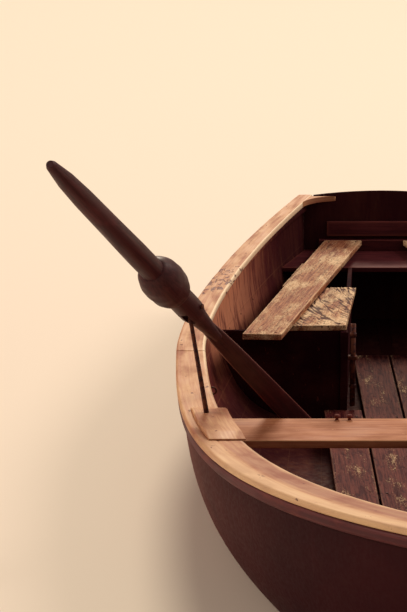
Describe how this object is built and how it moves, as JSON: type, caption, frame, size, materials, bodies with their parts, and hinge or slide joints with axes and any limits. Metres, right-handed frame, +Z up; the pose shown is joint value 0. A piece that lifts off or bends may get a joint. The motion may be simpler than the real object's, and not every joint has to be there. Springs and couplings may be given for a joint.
{
  "type": "rowing boat",
  "caption": "Open wooden rowing boat with pointed bow, flat stern, wide caps, thwarts, side benches over lockers and oars on iron pins.",
  "frame": {"origin": "on the centreline at the waterline, below the lowest point of the sheer, where the water holds the boat up", "axes": "+Z up, +Y to the bow, +X to starboard"},
  "size_m": [2.341, 4.7147, 1.5552],
  "materials": {
    "hull": "old satin paint, worn and dirty",
    "cap": "worn varnish on pale wood",
    "inside": "thin brown paint with dirt streaks",
    "bench": "rough, flaking pale paint on old wood",
    "thwart": "worn brown wood",
    "dark": "dark painted wood",
    "iron": "dark rusty iron",
    "oar": "dark worn varnish"
  },
  "bodies": {
    "hull": {"bottom_starboard": "hull", "bottom_port": "hull", "bilge_starboard": "hull", "bilge_port": "hull", "side_starboard": "hull", "side_port": "hull", "keel": "hull", "skeg": "hull", "stem": "hull", "rubrail_starboard": "cap", "rubrail_port": "cap", "inwale_starboard": "inside", "inwale_port": "inside", "cap_aft_starboard": "cap", "cap_aft_port": "cap", "cap_fore_starboard": "cap", "cap_fore_port": "cap", "transom": "inside", "quarter_knee_starboard": "cap", "quarter_knee_port": "cap", "breasthook": "cap", "transom_pad_inner": "dark", "transom_pad_outer": "dark", "riser_starboard": "inside", "riser_port": "inside", "thwart_middle": "thwart", "thwart_bow": "thwart", "bearer_1": "dark", "bearer_2": "dark", "bearer_3": "dark", "floorboard_inner_starboard": "bench", "floorboard_inner_port": "bench", "floorboard_outer_starboard": "bench", "floorboard_outer_port": "bench", "locker_front_starboard": "dark", "locker_front_port": "dark", "locker_post_starboard": "dark", "locker_post_port": "dark", "locker_side_starboard": "dark", "locker_side_port": "dark", "bench_short_starboard": "bench", "bench_short_port": "bench", "bench_long_starboard": "bench", "bench_long_port": "bench", "bench_strip_starboard": "bench", "bench_strip_port": "bench", "stern_seat": "thwart", "stern_ledge": "inside", "pump_pipe": "iron", "pin_pad_starboard": "cap", "pin_pad_port": "cap", "pin_starboard": "iron", "pin_port": "iron"},
    "rowlock_starboard": {"swivel_starboard": "iron"},
    "oar_starboard_body": {"oar_starboard": "oar", "oar_collar_starboard": "oar"},
    "rowlock_port": {"swivel_port": "iron"},
    "oar_port_body": {"oar_port": "oar", "oar_collar_port": "oar"}
  },
  "joints": [
    {"name": "swing_starboard", "type": "hinge", "parent": "hull", "child": "rowlock_starboard", "pos_m": [0.78601, 1.031, 0.788], "axis": [0.1616, 0, 0.9869], "range_deg": [-20, 14]},
    {"name": "lift_starboard", "type": "hinge", "parent": "rowlock_starboard", "child": "oar_starboard_body", "pos_m": [0.78601, 1.031, 0.788], "axis": [-0.9272, 0.3424, 0.1518], "range_deg": [0, 60]},
    {"name": "swing_port", "type": "hinge", "parent": "hull", "child": "rowlock_port", "pos_m": [-0.78601, 1.031, 0.788], "axis": [-0.1616, 0, 0.9869], "range_deg": [-14, 20]},
    {"name": "lift_port", "type": "hinge", "parent": "rowlock_port", "child": "oar_port_body", "pos_m": [-0.78601, 1.031, 0.788], "axis": [-0.9272, -0.3424, -0.1518], "range_deg": [0, 60]}
  ]
}
